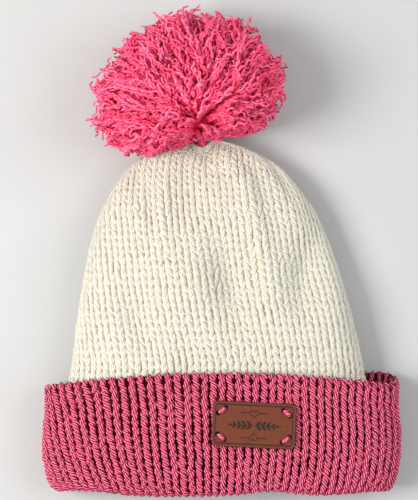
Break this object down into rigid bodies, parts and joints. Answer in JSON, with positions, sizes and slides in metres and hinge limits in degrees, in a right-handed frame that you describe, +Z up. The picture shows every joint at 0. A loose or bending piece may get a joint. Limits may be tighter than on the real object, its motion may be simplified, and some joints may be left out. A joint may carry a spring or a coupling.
{
  "type": "knitted bobble hat",
  "caption": "Chunky double-knit bobble hat lying flat: cream dome with soft folds, deep rose turned-up cuff with a sewn-on tan label, and a large shaggy yarn pompom.",
  "frame": {"origin": "centre of the hat's footprint, on the plane that it lies on", "axes": "+X across the hat to its right as it is seen from above, +Y from the mouth to the pompom, +Z up off the surface that it lies on, through its front"},
  "size_m": [0.219, 0.299, 0.0757],
  "materials": {
    "cream_yarn": "matte, fuzzy",
    "rose_yarn": "matte, fuzzy",
    "coral_yarn": "matte, frayed",
    "tan_leather": "satin"
  },
  "bodies": {
    "root": {"crown": "cream_yarn", "cuff": "rose_yarn", "pompom": "coral_yarn", "label": "tan_leather", "stitch_top_left": "coral_yarn", "stitch_top_right": "coral_yarn", "stitch_bottom_left": "coral_yarn", "stitch_bottom_right": "coral_yarn"}
  },
  "joints": []
}
